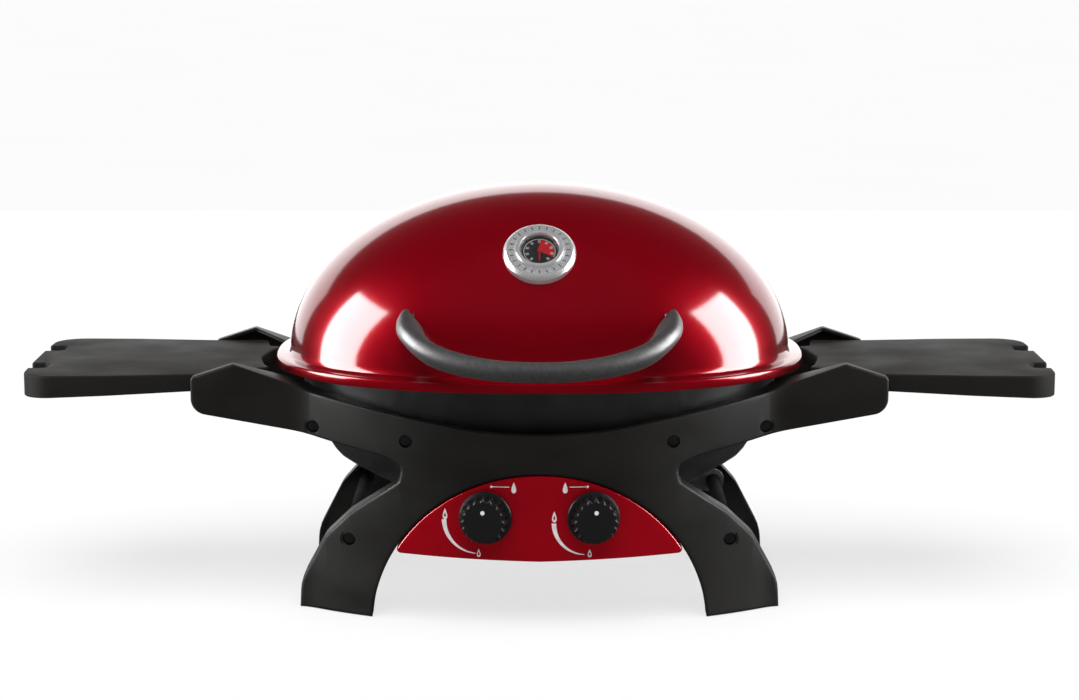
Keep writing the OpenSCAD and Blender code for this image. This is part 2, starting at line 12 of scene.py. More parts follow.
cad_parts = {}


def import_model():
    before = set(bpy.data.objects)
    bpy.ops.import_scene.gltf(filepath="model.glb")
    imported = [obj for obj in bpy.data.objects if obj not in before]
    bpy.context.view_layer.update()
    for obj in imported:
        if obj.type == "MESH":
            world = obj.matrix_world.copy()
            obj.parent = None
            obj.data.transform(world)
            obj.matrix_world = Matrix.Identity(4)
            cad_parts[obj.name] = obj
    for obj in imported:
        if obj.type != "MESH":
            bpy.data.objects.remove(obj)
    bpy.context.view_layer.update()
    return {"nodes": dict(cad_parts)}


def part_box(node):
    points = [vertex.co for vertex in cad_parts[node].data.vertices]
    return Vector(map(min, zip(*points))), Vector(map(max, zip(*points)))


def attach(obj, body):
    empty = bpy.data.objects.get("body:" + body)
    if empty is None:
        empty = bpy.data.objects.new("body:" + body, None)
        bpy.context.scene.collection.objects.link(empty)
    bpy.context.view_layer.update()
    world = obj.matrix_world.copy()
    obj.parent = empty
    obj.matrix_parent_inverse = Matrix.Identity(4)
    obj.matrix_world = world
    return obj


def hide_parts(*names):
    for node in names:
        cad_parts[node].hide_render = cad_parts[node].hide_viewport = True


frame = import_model()
NODES = frame["nodes"]
MM = 0.001


def middle(node, axis):
    """Middle of a CAD node's box along one axis, in millimetres."""
    low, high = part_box(node)
    return (low[axis] + high[axis]) / 2 / MM


# In the design y = 0 lies midway between the two frames. The heights are those of the feet and the lid's lip.
FOOT_Z = -4.0
LIP_Z = 250.5
Y_SHIFT = middle("tie_bars", 1)
Z_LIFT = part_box("lid_shell")[0].z / MM - LIP_Z

# Measured from the frame: half the width over the lid's rim, and how far the arms and shelves reach.
RIM_A = (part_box("lid_shell")[1].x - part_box("lid_shell")[0].x) / 2 / MM
ARM_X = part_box("front_frame")[1].x / MM
SHELF_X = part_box("right_shelf")[1].x / MM
SHELF_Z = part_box("right_shelf")[1].z / MM - Z_LIFT


def world(p):
    """A point in design millimetres as a place in the frame, in metres."""
    return Vector((p[0] * MM, (p[1] + Y_SHIFT) * MM, (p[2] + Z_LIFT) * MM))


# ---------------------------------------------------------------- camera, floor and light
CAMERA_PLACE = (0, -3097.5, 779)
CAMERA_LENS, CAMERA_DIP = 92.94, 9.542
SUN_LEAN, SUN_SPREAD = 24.0, 60.0
FLOOR_HALF, FLOOR_DROP = 30, 0.0005
WALL_RADIUS, WALL_LOW, WALL_TOP = 28.0, -0.5, 16.0


def add_camera():
    data = bpy.data.cameras.new("camera")
    data.lens, data.sensor_width = CAMERA_LENS, 36.0
    data.clip_end = 2 * FLOOR_HALF
    cam = bpy.data.objects.new("camera", data)
    cam.location = world(CAMERA_PLACE)
    cam.rotation_euler = (math.radians(90 - CAMERA_DIP), 0, 0)
    bpy.context.scene.collection.objects.link(cam)
    bpy.context.scene.camera = cam


def add_area(name, place, target, size, power):
    """A rectangular lamp that shows only in reflections, and never to the camera itself."""
    data = bpy.data.lights.new(name, "AREA")
    data.shape, data.size, data.size_y = "RECTANGLE", size[0], size[1]
    data.energy = power
    lamp = bpy.data.objects.new(name, data)
    lamp.location = place
    aim = (Vector(target) - Vector(place)).to_track_quat("-Z", "Y")
    lamp.rotation_euler = aim.to_euler()
    lamp.visible_camera = lamp.visible_diffuse = False
    bpy.context.scene.collection.objects.link(lamp)


def add_lights():
    """A softbox on each side, a wide light behind for the contour, and a soft sun that fills the colours."""
    for name, side in (("softbox_left", -1), ("softbox_right", 1)):
        add_area(name, place=(side * 1.9, -0.19, 0.84), target=(0, -0.05, 0.27), size=(1.1, 1.62), power=105)
    add_area("rim_light", place=(0, 3.5, 1.2), target=(0, 0, 0.9), size=(8.4, 2.4), power=130)
    sun = bpy.data.lights.new("fill", "SUN")
    sun.energy, sun.angle = 3.1, math.radians(SUN_SPREAD)
    lamp = bpy.data.objects.new("fill", sun)
    lamp.rotation_euler = (math.radians(SUN_LEAN), 0, 0)
    lamp.visible_glossy = False
    bpy.context.scene.collection.objects.link(lamp)


def add_world():
    studio = bpy.data.worlds.new("studio")
    studio.use_nodes = True
    background = studio.node_tree.nodes["Background"]
    background.inputs["Color"].default_value = (0.95, 0.97, 1, 1)
    background.inputs["Strength"].default_value = 0.03
    bpy.context.scene.world = studio
    view = bpy.context.scene.view_settings
    view.view_transform, view.look, view.exposure = "Standard", "None", 0


def paper(name, *, roughness, specular, glow, scale, dark, light):
    """White paper that shines a little by itself, which keeps the shadows on it faint."""
    made = Shader(name, Roughness=roughness, Specular_IOR_Level=specular, Emission_Strength=glow)
    made.two_colours(made.noise(scale, 2), (dark, dark, dark), (light, light, light))
    made.main.inputs["Emission Color"].default_value = (1, 1, 1, 1)
    return made.material


def add_floor():
    mesh = bpy.data.meshes.new("floor")
    corners = [(x * FLOOR_HALF, y * FLOOR_HALF, 0) for x, y in ((-1, -1), (1, -1), (1, 1), (-1, 1))]
    mesh.from_pydata(corners, [], [(0, 1, 2, 3)])
    floor = bpy.data.objects.new("floor", mesh)
    floor.location.z = -FLOOR_DROP
    bpy.context.scene.collection.objects.link(floor)
    white = paper("floor_paper", roughness=0.95, specular=0.1, glow=0.72, scale=1.5, dark=0.27, light=0.28)
    floor.data.materials.append(white)
    floor.visible_glossy = False


def add_backdrop():
    """A pale wall all round, far behind the object, that only fills the view above the floor."""
    sides = 96
    points = [(x, y, z) for z in (WALL_LOW, WALL_TOP) for x, y in circle(WALL_RADIUS, sides)]
    faces = [(i, (i + 1) % sides, sides + (i + 1) % sides, sides + i) for i in range(sides)]
    mesh = bpy.data.meshes.new("backdrop")
    mesh.from_pydata(points, [], faces)
    wall = bpy.data.objects.new("backdrop", mesh)
    bpy.context.scene.collection.objects.link(wall)
    white = paper("backdrop_paper", roughness=1.0, specular=0.0, glow=0.94, scale=0.3, dark=0.02, light=0.022)
    wall.data.materials.append(white)
    wall.visible_diffuse = wall.visible_glossy = wall.visible_shadow = wall.visible_transmission = False


# ---------------------------------------------------------------- materials
class Shader:
    """Builds the node tree round one Principled shader. Depths are millimetres."""

    def __init__(self, name, **values):
        self.material = bpy.data.materials.new(name)
        self.material.use_nodes = True
        self.tree = self.material.node_tree
        self.main = self.tree.nodes["Principled BSDF"]
        for key, value in values.items():
            self.main.inputs[key.replace("_", " ")].default_value = value

    def add(self, kind, **values):
        """A node with its sockets or, where it has no such socket, its settings given by name."""
        node = self.tree.nodes.new(kind)
        for key, value in values.items():
            if key in node.inputs:
                node.inputs[key].default_value = value
            else:
                setattr(node, key, value)
        return node

    def link(self, out, into):
        self.tree.links.new(out, into)

    def noise(self, scale, detail=4, stretch=(1, 1, 1)):
        """Noise in the object's own coordinates, with scale features in a metre."""
        place = self.add("ShaderNodeTexCoord")
        mapping = self.add("ShaderNodeMapping")
        mapping.inputs["Scale"].default_value = stretch
        self.link(place.outputs["Object"], mapping.inputs["Vector"])
        made = self.add("ShaderNodeTexNoise", Scale=scale, Detail=detail)
        self.link(mapping.outputs["Vector"], made.inputs["Vector"])
        return made.outputs["Fac"]

    def spread(self, value, low, high):
        """The usual 0.3 to 0.7 of a noise spread out between low and high."""
        made = self.add("ShaderNodeMapRange")
        for key, number in (("From Min", 0.3), ("From Max", 0.7), ("To Min", low), ("To Max", high)):
            made.inputs[key].default_value = number
        self.link(value, made.inputs["Value"])
        return made.outputs["Result"]

    def two_colours(self, value, first, second):
        """A base colour that drifts from the first colour to the second with the value."""
        ramp = self.add("ShaderNodeValToRGB")
        ramp.color_ramp.elements[0].position = 0.35
        ramp.color_ramp.elements[1].position = 0.65
        ramp.color_ramp.elements[0].color = (*first, 1)
        ramp.color_ramp.elements[1].color = (*second, 1)
        self.link(value, ramp.inputs["Fac"])
        self.link(ramp.outputs["Color"], self.main.inputs["Base Color"])

    def rough(self, value, low, high):
        self.link(self.spread(value, low, high), self.main.inputs["Roughness"])

    def bump(self, height, depth, into="Normal"):
        made = self.add("ShaderNodeBump", Strength=1.0, Distance=depth * MM)
        self.link(height, made.inputs["Height"])
        self.link(made.outputs["Normal"], self.main.inputs[into])


def tone(colour, factor):
    return tuple(min(1.0, c * factor) for c in colour)


def simple_material(name, colour, roughness, metallic=0.0, *, grain, depth):
    """A surface with small colour, gloss and relief variation."""
    made = Shader(name, Metallic=metallic)
    made.two_colours(made.noise(grain * 0.2), tone(colour, 0.88), tone(colour, 1.1))
    made.rough(made.noise(grain * 0.5), roughness * 0.85, min(1, roughness * 1.15))
    made.bump(made.noise(grain), depth)
    return made.material


def enamel(name, colour, roughness=0.34):
    """Gloss enamel: a faintly metallic base under a clear coat with orange peel."""
    made = Shader(name, Metallic=0.32, Specular_IOR_Level=0.0, Coat_Weight=1.0, Coat_Roughness=0.11,
                  Coat_IOR=1.5)
    made.two_colours(made.noise(5, 2), tone(colour, 0.93), tone(colour, 1.05))
    made.rough(made.noise(60), roughness * 0.9, roughness * 1.1)
    made.bump(made.noise(900, 2), 0.006)
    made.bump(made.noise(160, 2), 0.012, "Coat Normal")
    return made.material


def moulded(name, colour, roughness=0.48, streak=0.5, gloss=0.17):
    """Glass-filled nylon: dull black with soft mould streaks and a fine texture."""
    made = Shader(name, Specular_IOR_Level=gloss)
    streaks = made.noise(7, 5, (1, 1, 2.5))
    made.two_colours(streaks, tone(colour, 1 - 0.35 * streak), tone(colour, 1 + 0.5 * streak))
    made.rough(made.noise(14, 5, (1, 1, 2)), roughness - 0.07, roughness + 0.09)
    made.bump(made.noise(1500, 3), 0.03)
    return made.material


def turned_metal(name, colour, roughness):
    """Aluminium turned on a lathe: fine rings round the object's own z axis."""
    made = Shader(name, Metallic=0.65, Anisotropic=0.5)
    place = made.add("ShaderNodeTexCoord")
    part = made.add("ShaderNodeSeparateXYZ")
    made.link(place.outputs["Object"], part.inputs[0])
    flat = made.add("ShaderNodeCombineXYZ")
    made.link(part.outputs["X"], flat.inputs["X"])
    made.link(part.outputs["Y"], flat.inputs["Y"])
    length = made.add("ShaderNodeVectorMath", operation="LENGTH")
    made.link(flat.outputs[0], length.inputs[0])
    rings = made.add("ShaderNodeTexNoise", noise_dimensions="1D", Scale=9000.0, Detail=3.0)
    made.link(length.outputs["Value"], rings.inputs["W"])
    around = made.add("ShaderNodeTangent", direction_type="RADIAL", axis="Z")
    made.link(around.outputs["Tangent"], made.main.inputs["Tangent"])
    made.two_colours(rings.outputs["Fac"], tone(colour, 0.9), colour)
    made.rough(rings.outputs["Fac"], roughness * 0.8, roughness * 1.3)
    made.bump(rings.outputs["Fac"], 0.004)
    return made.material


def cast_enamel(name, colour, roughness=0.42):
    """Satin enamel over a sand casting."""
    made = Shader(name, Coat_Weight=0.15, Coat_Roughness=0.3)
    made.two_colours(made.noise(25, 5), tone(colour, 0.8), tone(colour, 1.25))
    made.rough(made.noise(80), roughness * 0.85, roughness * 1.2)
    made.bump(made.noise(420, 4), 0.12)
    return made.material


def glass_material():
    made = Shader("gauge_glass", Roughness=0.03, Alpha=0.15)
    made.two_colours(made.noise(40), (0.015, 0.016, 0.017), (0.02, 0.022, 0.023))
    made.bump(made.noise(300, 2), 0.002)
    return made.material


# ---------------------------------------------------------------- mesh helpers
def piece(name, points, faces, material, body, replaces=(), slot=None, smooth=35, matrix=None):
    """A mesh piece from design millimetres. With a matrix the points are local to it."""
    mesh = bpy.data.meshes.new(name)
    if matrix is None:
        mesh.from_pydata([world(p) for p in points], [], faces)
    else:
        mesh.from_pydata([Vector(p) * MM for p in points], [], faces)
    made = bpy.data.objects.new(name, mesh)
    bpy.context.scene.collection.objects.link(made)
    if matrix is not None:
        made.matrix_world = matrix
    return finish_piece(made, material, body, replaces, smooth)


def finish_piece(made, material, body, replaces, smooth):
    """Welds the mesh, gives it its material and shading, ties it to its body and hides the nodes it replaces.
    """
    work = bmesh.new()
    work.from_mesh(made.data)
    bmesh.ops.remove_doubles(work, verts=work.verts, dist=1e-6)
    bmesh.ops.recalc_face_normals(work, faces=work.faces)
    work.to_mesh(made.data)
    work.free()
    made.data.materials.append(material)
    if smooth:
        made.data.shade_smooth()
        made.data.set_sharp_from_angle(angle=math.radians(smooth))
    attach(made, body)
    if replaces:
        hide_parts(*replaces)
    return made


def circle(radius, sides):
    """Points evenly round a circle."""
    return [(radius * math.cos(2 * math.pi * i / sides), radius * math.sin(2 * math.pi * i / sides))
            for i in range(sides)]


def oval_point(a, b, n, t):
    """A point of a superellipse: half sizes a and b, squareness n, where 2 is a plain ellipse."""
    c, s = math.cos(t), math.sin(t)
    return (a * math.copysign(abs(c) ** (2 / n), c), b * math.copysign(abs(s) ** (2 / n), s))


def ring_faces(rows, columns, closed_rows=False):
    """Quads between closed rings of points. The first and last ring are joined up, or else capped."""
    last = rows if closed_rows else rows - 1
    faces = []
    for j in range(last):
        k = (j + 1) % rows
        for i in range(columns):
            n = (i + 1) % columns
            faces.append((j * columns + i, j * columns + n, k * columns + n, k * columns + i))
    if not closed_rows:
        faces.append(tuple(range(columns - 1, -1, -1)))
        faces.append(tuple((rows - 1) * columns + i for i in range(columns)))
    return faces


def oval_rings(rings, columns=192):
    """Points of oval rings (a, b, z, squareness), spread evenly round each ring."""
    points = []
    for a, b, z, n in rings:
        for i in range(columns):
            x, y = oval_point(a, b, n, 2 * math.pi * i / columns)
            points.append((x, y, z))
    return points


def arc(centre, radius, start, end, steps):
    """Points on an arc, angles in degrees."""
    return [(centre[0] + radius * math.cos(math.radians(start + (end - start) * i / steps)),
             centre[1] + radius * math.sin(math.radians(start + (end - start) * i / steps)))
            for i in range(steps + 1)]


def lathe(profile, columns):
    """Points and faces of a closed profile (radius, height) turned round z."""
    points = [(x, y, z) for r, z in profile for x, y in circle(r, columns)]
    return points, ring_faces(len(profile), columns, closed_rows=True)


def joined(shapes):
    """One (points, faces) shape out of several."""
    points, faces = [], []
    for more_points, more_faces in shapes:
        start = len(points)
        points += more_points
        faces += [tuple(start + i for i in face) for face in more_faces]
    return points, faces


def rounded(corners):
    """Corners (u, v, radius) as an outline with round corners."""
    out = []
    count = len(corners)
    for i, (u, v, r) in enumerate(corners):
        p = Vector((u, v))
        if r <= 0:
            out.append(p)
            continue
        a = (Vector(corners[i - 1][:2]) - p).normalized()
        b = (Vector(corners[(i + 1) % count][:2]) - p).normalized()
        half = a.angle(b) / 2
        centre = p + (a + b).normalized() * r / math.sin(half)
        t1, t2 = p + a * r / math.tan(half) - centre, p + b * r / math.tan(half) - centre
        start, end = math.atan2(t1.y, t1.x), math.atan2(t2.y, t2.x)
        sweep = (end - start + 3 * math.pi) % (2 * math.pi) - math.pi
        steps = max(3, int(abs(math.degrees(sweep)) / 7))
        for k in range(steps + 1):
            t = start + sweep * k / steps
            out.append(centre + Vector((math.cos(t), math.sin(t))) * r)
    return [(p[0], p[1]) for p in out]


def inset(outline, distance):
    """The outline moved inwards by a distance, corner by corner. The outline runs anticlockwise."""
    count = len(outline)
    out = []
    for i in range(count):
        p = Vector(outline[i])
        a = (p - Vector(outline[i - 1])).normalized()
        b = (Vector(outline[(i + 1) % count]) - p).normalized()
        na, nb = Vector((-a.y, a.x)), Vector((-b.y, b.x))
        mid = na + nb
        if mid.length < 1e-6:
            mid = na
        mid.normalize()
        out.append(tuple(p + mid * distance / max(0.5, mid.dot(na))))
    return out


def anticlockwise(outline):
    twice_area = sum(u0 * v1 - u1 * v0 for (u0, v0), (u1, v1) in zip(outline, outline[1:] + outline[:1]))
    return outline if twice_area > 0 else outline[::-1]


OUTER_CHAMFER, INNER_CHAMFER = 0.8, 0.6


def tray(outline, edge, wall, floor, rim, cuts):
    """A moulded tray lying face up: a face with round edges, side walls, and a hollow behind.

    outline is (u, v); depth 0 is the face and grows behind it. edge is the radius of the face's edge, wall
    and floor are thicknesses, and rim(u, v) is how deep the walls go. cuts are u values where the face is
    split, so that it can be bent afterwards. Returns a bmesh in (u, v, depth).
    """
    outline = anticlockwise(outline)
    inner = inset(outline, wall)
    work = bmesh.new()
    rings = []
    steps = 5
    for k in range(steps + 1):
        t = math.pi / 2 * k / steps
        rings.append([(q, edge * (1 - math.cos(t))) for q in inset(outline, edge * (1 - math.sin(t)))])
    rings.append([(q, rim(*q) - OUTER_CHAMFER) for q in outline])
    rings.append([(q, rim(*p)) for q, p in zip(inset(outline, OUTER_CHAMFER), outline)])
    rings.append([(q, rim(*p)) for q, p in zip(inset(outline, wall - INNER_CHAMFER), outline)])
    rings.append([(q, rim(*p) - INNER_CHAMFER) for q, p in zip(inner, outline)])
    rings.append([(q, floor) for q in inner])
    rows = [[work.verts.new((q[0], q[1], d)) for q, d in ring] for ring in rings]
    for upper, lower in zip(rows, rows[1:]):
        for i in range(len(upper)):
            j = (i + 1) % len(upper)
            work.faces.new((upper[i], upper[j], lower[j], lower[i]))
    face, back = work.faces.new(rows[0][::-1]), work.faces.new(rows[-1])
    work.normal_update()
    bmesh.ops.triangulate(work, faces=[face, back])
    for u in cuts:
        everything = work.verts[:] + work.edges[:] + work.faces[:]
        bmesh.ops.bisect_plane(work, geom=everything, plane_co=(u, 0, 0), plane_no=(1, 0, 0), dist=1e-4)
    return work


def bar_into(work, low, high):
    """A plain rib between two corners, added to a mesh under construction."""
    for v in bmesh.ops.create_cube(work, size=1)["verts"]:
        v.co = [low[i] + (high[i] - low[i]) * (v.co[i] + 0.5) for i in range(3)]


def from_bmesh(name, work, place, material, body, replaces, smooth=30):
    """Turns a mesh under construction into a piece; place() maps its points to design millimetres."""
    for v in work.verts:
        v.co = world(place(v.co))
    mesh = bpy.data.meshes.new(name)
    work.to_mesh(mesh)
    work.free()
    made = bpy.data.objects.new(name, mesh)
    bpy.context.scene.collection.objects.link(made)
    return finish_piece(made, material, body, replaces, smooth)


def carve(target, cutters, name):
    """Cuts a list of closed shapes (points, faces in design millimetres) out of a piece."""
    points, faces = joined(cutters)
    mesh = bpy.data.meshes.new(name)
    mesh.from_pydata([world(p) for p in points], [], faces)
    work = bmesh.new()
    work.from_mesh(mesh)
    bmesh.ops.recalc_face_normals(work, faces=work.faces)
    work.to_mesh(mesh)
    work.free()
    tool = bpy.data.objects.new(name, mesh)
    bpy.context.scene.collection.objects.link(tool)
    modifier = target.modifiers.new("holes", "BOOLEAN")
    modifier.operation, modifier.solver, modifier.object = "DIFFERENCE", "EXACT", tool
    bpy.context.view_layer.update()
    done = bpy.data.meshes.new_from_object(target.evaluated_get(bpy.context.evaluated_depsgraph_get()))
    target.modifiers.clear()
    target.data = done
    target.data.shade_smooth()
    target.data.set_sharp_from_angle(angle=math.radians(30))
    bpy.data.objects.remove(tool)


# ---------------------------------------------------------------- the object's shapes
# The lid: its plan's squareness and half depth, the dome's step in from the rim, foot, top and thickness.
OVAL_N = 2.35
RIM_B = 233.5
DOME_IN = 15.5
DOME_Z = LIP_Z + 12
LID_TOP = 448.0
LID_T = 3.5

# The frames: the bow of their faces up to the crease, the arch between the legs, how deep the edges are, and
# how far out the deck beside the lid reaches.
BOW_R, FACE_FRONT = 426.0, 219.5
BOW_Y = BOW_R - FACE_FRONT
CREASE_X, CREASE_HALF = 257.0, 14.0
ARCH_R, ARCH_Z = 181.3, -20.5
LEG_DEPTH, ARM_DEPTH, ARCH_DEPTH = 28.0, 15.0, 14.0
DECK_X = 307.0

# The knobs' axes and their height over the panel, and the middle of the gauge and its lean.
KNOB_X, KNOB_Z, KNOB_TOP = 56.5, 115.5, 26.1
GAUGE_PLACE, GAUGE_TILT = (0, -160, 389), 42.5


def face_y(x):
    """Y of a frame's front face at x: a bow that eases into the straight arms."""
    start = CREASE_X - CREASE_HALF
    u = min(abs(x), start)
    bow = BOW_Y - math.sqrt(BOW_R ** 2 - u * u)
    slope = start / math.sqrt(BOW_R ** 2 - start ** 2)
    past = min(abs(x) - u, 2 * CREASE_HALF)
    return bow + slope * (past - past * past / (4 * CREASE_HALF))


def dome_ring(angle, shrink=0.0):
    """A ring (a, b, z, squareness) of the dome, at an angle up from its foot. Higher rings are rounder."""
    c, s = math.cos(math.radians(angle)), math.sin(math.radians(angle))
    a, b, h = RIM_A - DOME_IN - shrink, RIM_B - DOME_IN - shrink, LID_TOP - DOME_Z - shrink
    return (a * c, b * c, DOME_Z + h * s, 2 + (OVAL_N - 2) * c ** 4)


def build_lid():
    """One closed shell: the dome from its top down, the rim with its round edge, and the inside back up."""
    top, span, outer_rows, inner_rows = 89.6, 87.2, 44, 30
    rings = [dome_ring(top - span * i / outer_rows) for i in range(outer_rows + 1)]
    down, bead, ledge = DOME_Z - LIP_Z, 3.2, 3.4
    rim = [(DOME_IN - 1.0, 1.3), (DOME_IN - 2.2, 0.4), (DOME_IN - 4.2, 0.0), (6.0, -0.7)]
    rim += arc((bead, -1.0 - bead), bead, 105, 180, 5)
    rim += [(0, -down + 1.8), (0.35, -down + 0.8), (1.2, -down + 0.15), (2.4, -down), (4.2, -down),
            (5.2, -down + 0.3), (5.5, -down + 1.2), (5.5, -ledge), (DOME_IN + LID_T, -ledge)]
    rings += [(RIM_A - e, RIM_B - e, DOME_Z + z, OVAL_N) for e, z in rim]
    rings += [dome_ring(top - span * i / inner_rows, LID_T) for i in range(inner_rows, -1, -1)]
    red = enamel("lid_enamel", (0.225, 0.0, 0.005))
    piece("lid", oval_rings(rings), ring_faces(len(rings), 192), red, "lid", ["lid_shell"], "lid_shell", 50)


# The handle's right half from its middle to its end, and its half sizes: out from the lid, and along it.
HANDLE_LINE = [(0, -268, 279.5), (40, -265, 280.5), (80, -254, 285), (112, -237, 293), (131, -216, 305),
               (139, -196, 318), (143, -181, 329)]
HANDLE_SIZE = [(11.3, 10), (12, 10.2), (14, 10.5), (16.5, 11), (17, 11), (13, 9.5), (3.5, 5)]
HANDLE_N = 2 / 0.85


def spline(points, t):
    """A smooth curve through the points; t counts spans from the first point."""
    i = min(int(t), len(points) - 2)
    f = t - i
    p0, p1 = Vector(points[max(i - 1, 0)]), Vector(points[i])
    p2, p3 = Vector(points[i + 1]), Vector(points[min(i + 2, len(points) - 1)])
    return 0.5 * (2 * p1 + (p2 - p0) * f + (2 * p0 - 5 * p1 + 4 * p2 - p3) * f * f
                  + (3 * p1 - p0 - 3 * p2 + p3) * f ** 3)


def build_handle():
    line = [(-x, y, z) for x, y, z in HANDLE_LINE[:0:-1]] + HANDLE_LINE
    size = HANDLE_SIZE[:0:-1] + HANDLE_SIZE
    steps, sides = 120, 40
    mid = [spline(line, (len(line) - 1) * i / steps) for i in range(steps + 1)]
    half = [spline(size, (len(size) - 1) * i / steps) for i in range(steps + 1)]
    points = []
    for i in range(steps + 1):
        along = (mid[min(i + 1, steps)] - mid[max(i - 1, 0)]).normalized()
        down = along.cross(along.cross(Vector((0, 0.6, 0.8)))).normalized()
        out = down.cross(along)
        for k in range(sides):
            u, v = oval_point(half[i][1], half[i][0], HANDLE_N, 2 * math.pi * k / sides)
            points.append(mid[i] + down * u + out * v)
    grey = simple_material("handle_paint", (0.15, 0.15, 0.152), 0.5, 0.85, grain=1200, depth=0.01)
    piece("handle", points, ring_faces(steps + 1, sides), grey, "lid", ["lid_handle"], "lid_handle", 60)


def disc_sector(r0, r1, start, end, z, steps=2):
    """A thin ring sector below z in the gauge's own plane; angles clockwise from twelve o'clock."""
    thickness = 0.15
    points, faces = [], []
    for i in range(steps + 1):
        t = math.radians(90 - (start + (end - start) * i / steps))
        for r in (r0, r1):
            points.append((r * math.cos(t), r * math.sin(t), z))
            points.append((r * math.cos(t), r * math.sin(t), z - thickness))
    for i in range(steps):
        a, b = 4 * i, 4 * i + 4
        faces += [(a, a + 2, b + 2, b), (a + 1, b + 1, b + 3, a + 3)]
        faces += [(a, b, b + 1, a + 1), (a + 2, a + 3, b + 3, b + 2)]
    faces += [(0, 1, 3, 2), (4 * steps, 4 * steps + 2, 4 * steps + 3, 4 * steps + 1)]
    return points, faces


def build_gauge():
    """The turned bezel, and the markings on it and on the dial."""
    place = Matrix.Translation(world(GAUGE_PLACE)) @ Matrix.Rotation(math.radians(GAUGE_TILT), 4, "X")
    dial_z, bezel_r, bezel_face = 4.16, 39.0, 6.64
    first_mark, last_mark, hot_end = -140, 140, 118
    profile = [(20.2, 2.4), (26, 2.4), (26, -4.5), (bezel_r - 0.6, -4.5), (bezel_r, -3.9), (bezel_r, 1.6)]
    profile += [(bezel_r - 0.3, 2.6), (bezel_r - 1.4, 4.0), (35.6, 5.7), (34.8, 6.2), (33.9, 6.4)]
    profile += [(27.0, 6.6), (26.6, 6.3), (26.3, 5.6), (25.9, 5.5), (25.7, 6.0), (25.5, 9.3), (25.1, 10.0)]
    profile += [(24.4, 10.3), (22.0, 10.4), (21.3, 10.1), (20.7, 9.2), (20.2, 7.0)]
    metal = turned_metal("bezel_aluminium", (0.80, 0.80, 0.81), 0.22)
    piece("gauge_bezel_ring", *lathe(profile, 160), metal, "lid", ["gauge_bezel"], "gauge_bezel", 30, place)
    white = simple_material("dial_white", (0.75, 0.75, 0.72), 0.5, grain=900, depth=0.01)
    red = simple_material("dial_red", (0.62, 0.01, 0.02), 0.45, grain=900, depth=0.01)
    dark = simple_material("engraving", (0.13, 0.13, 0.13), 0.4, 0.7, grain=900, depth=0.01)
    sector = disc_sector(1.9, 15.8, 0, hot_end, dial_z, 40)
    piece("dial_hot_sector", *sector, red, "lid", (), "gauge_needle", 0, place)
    sector = disc_sector(16.4, 17.0, first_mark, hot_end, dial_z + 0.02, 90)
    piece("dial_scale_ring", *sector, white, "lid", (), "gauge_dial", 0, place)
    for i, t in enumerate(range(first_mark, last_mark + 1, 35)):
        bars = [disc_sector(11.8, 15.4, t + start, t + start + 3.1, dial_z + 0.12) for start in (-6.5, 0.2)]
        piece(f"dial_mark_{i}", *joined(bars), white, "lid", (), "gauge_dial", 0, place)
    for i, t in enumerate(range(0, 360, 15)):
        tick = disc_sector(28.3, 32.6, t - 1.3, t + 1.3, bezel_face)
        piece(f"bezel_tick_{i:02d}", *tick, dark, "lid", (), "gauge_bezel", 0, place)


# Places (x, z) on the right half of a frame's outline that its ribs refer to as well.
NECK, PEAK = (249, 236), (332, 265)
ARM_TIP, ARM_LOW, ARM_ROOT = (ARM_X, 250), (ARM_X, 212), (168, 174)
LEG_WAIST = (203, 110)

# The dip in the top edge, the oval left free for the cookbox, and the deck's corners and least depth.
DIP_Z, DIP_BOW = 203, 1250
COOKBOX_GAP_A, COOKBOX_GAP_B = 269.5, 206.5
SHOULDER_X, SHOULDER_Y, SHOULDER_TURN = 278, -76, 23
DECK_LOW, DECK_LEAST = 190, 8.0


def deck_depth(x):
    """How deep the edge beside the lid is, from the frame's face to the clearance round the cookbox."""
    u = min(abs(x) / COOKBOX_GAP_A, 1)
    inner = -COOKBOX_GAP_B * (1 - u ** OVAL_N) ** (1 / OVAL_N)
    if abs(x) > 200:
        past = max(0.0, (abs(x) - SHOULDER_X) / (DECK_X - SHOULDER_X))
        inner = min(inner, SHOULDER_Y - SHOULDER_TURN * past)
    return inner - face_y(x)


def frame_rim(x, z):
    """Depth of a frame's edge at a place on its outline."""
    if z > DECK_LOW and abs(x) < DECK_X:
        return max(DECK_LEAST, deck_depth(x))
    if abs(x) > CREASE_X:
        return ARM_DEPTH
    if z > LEG_WAIST[1] and math.hypot(x, z - ARCH_Z) < ARCH_R + 2:
        return ARCH_DEPTH
    return LEG_DEPTH


def frame_outline():
    dip = [(x, DIP_Z + x * x / DIP_BOW, 0) for x in range(0, 81, 8)]
    start = math.degrees(math.asin((FOOT_Z - ARCH_Z) / ARCH_R))
    arch = [(x, z, 0) for x, z in arc((0, ARCH_Z), ARCH_R, start, 90, 48)]
    arm = [(*NECK, 60), (*PEAK, 7), (*ARM_TIP, 5), (*ARM_LOW, 18), (*ARM_ROOT, 8)]
    leg = [(147, 165, 9), (150, 148, 9), (*LEG_WAIST, 60), (232, 80, 40), (260.5, 26, 50), (262, FOOT_Z, 0)]
    right = rounded(dip + arm + leg + arch)
    left = [(-x, z) for x, z in right[::-1] if abs(x) > 0.01]
    return anticlockwise(right + left)


# Screw holes (x, z) on one side, the radius of their bores, and how deep the cup behind each one is.
SCREWS = [(245, 198.5), (142.5, 192.4), (205.5, 79.5)]
SCREW_R, CUP_FLOOR, CUP_DEPTH = 7.0, 9.6, 13.8

